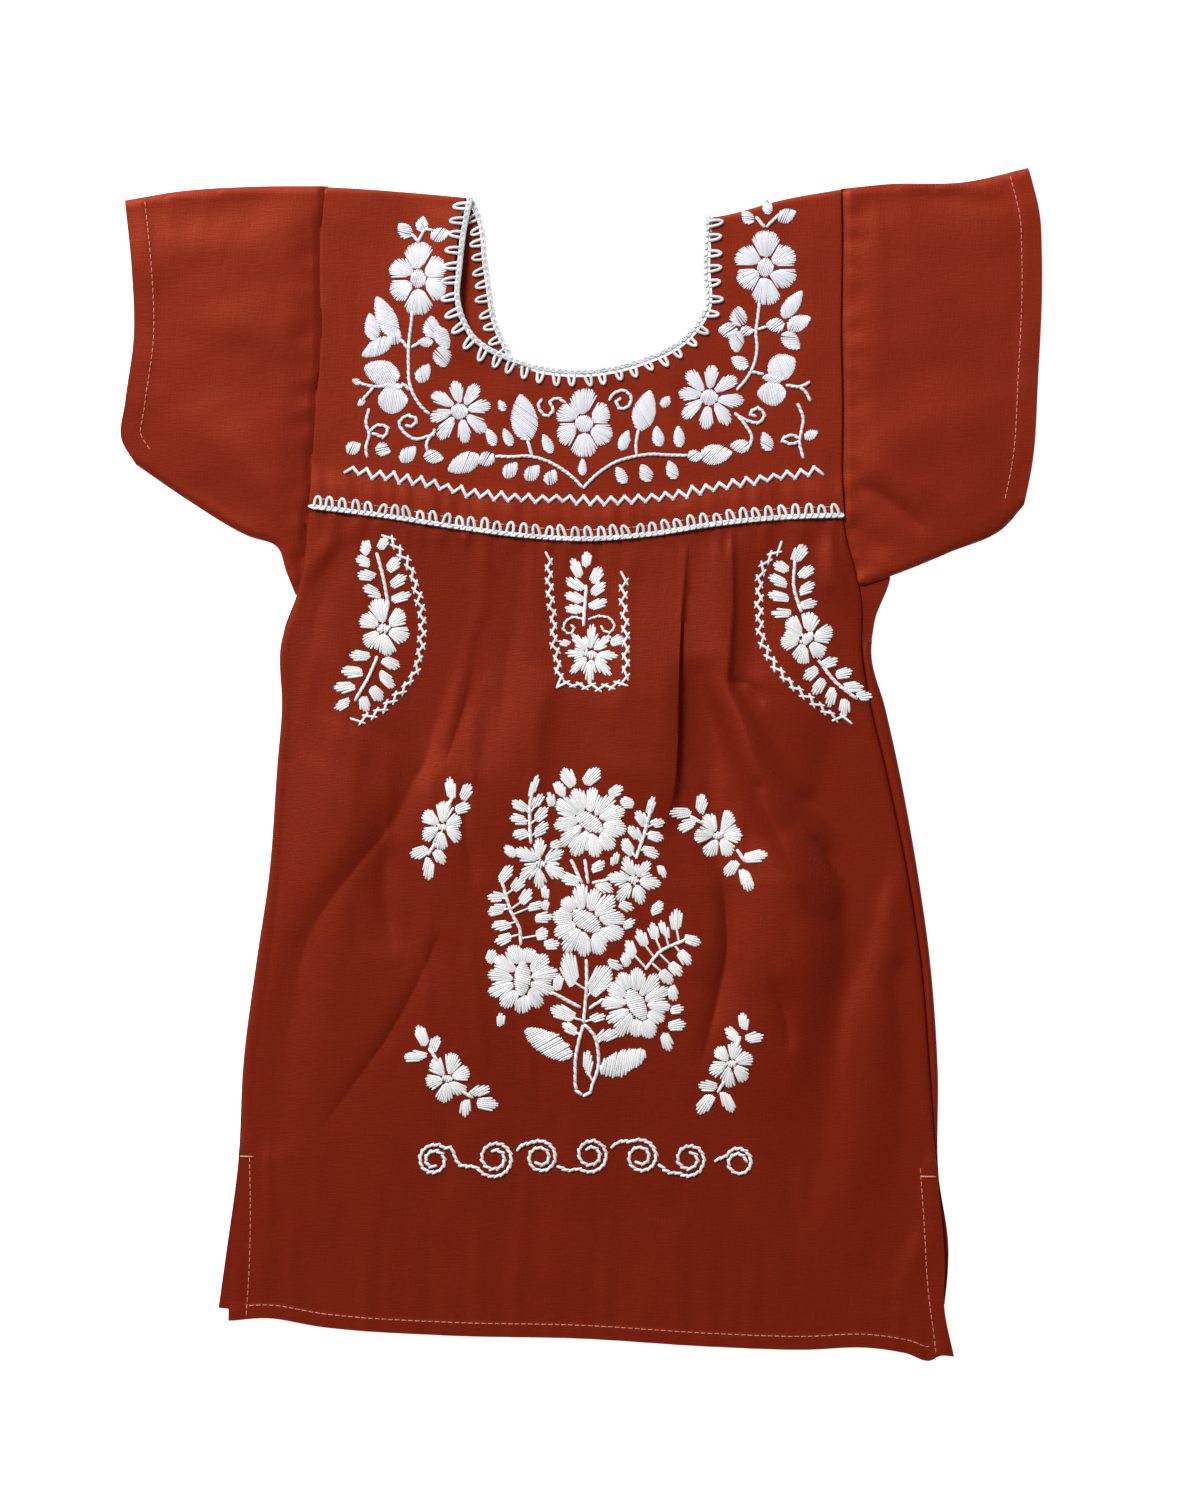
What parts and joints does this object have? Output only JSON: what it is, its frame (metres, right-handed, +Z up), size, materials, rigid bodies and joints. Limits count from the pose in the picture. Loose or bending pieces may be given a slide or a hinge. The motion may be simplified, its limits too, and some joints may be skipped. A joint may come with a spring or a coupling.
{
  "type": "embroidered puebla dress laid flat",
  "caption": "Child's short-sleeved pull-on dress in woven cotton, lying flat, with a folded yoke, pleated front, slit hem, crocheted edging and hand-embroidered flowers.",
  "frame": {"origin": "middle of the footprint, on the surface that the back of the dress lies on", "axes": "+X to the right as seen from the front, +Y from the hem to the shoulders, +Z up from the surface, out of the front of the dress"},
  "size_m": [0.4141, 0.5361, 0.0061],
  "materials": {
    "yoke_cloth": "plain-weave cotton dyed terracotta",
    "front_cloth": "plain-weave cotton dyed terracotta",
    "back_cloth": "plain-weave cotton dyed terracotta",
    "sleeve_left_cloth": "plain-weave cotton dyed terracotta",
    "sleeve_right_cloth": "plain-weave cotton dyed terracotta",
    "neck_thread": "crocheted cotton thread, white",
    "yoke_thread": "crocheted cotton thread, white"
  },
  "bodies": {
    "root": {"yoke": "yoke_cloth", "front_panel": "front_cloth", "back_panel": "back_cloth", "sleeve_left": "sleeve_left_cloth", "sleeve_right": "sleeve_right_cloth", "neck_edging": "neck_thread", "yoke_edging": "yoke_thread"}
  },
  "joints": []
}
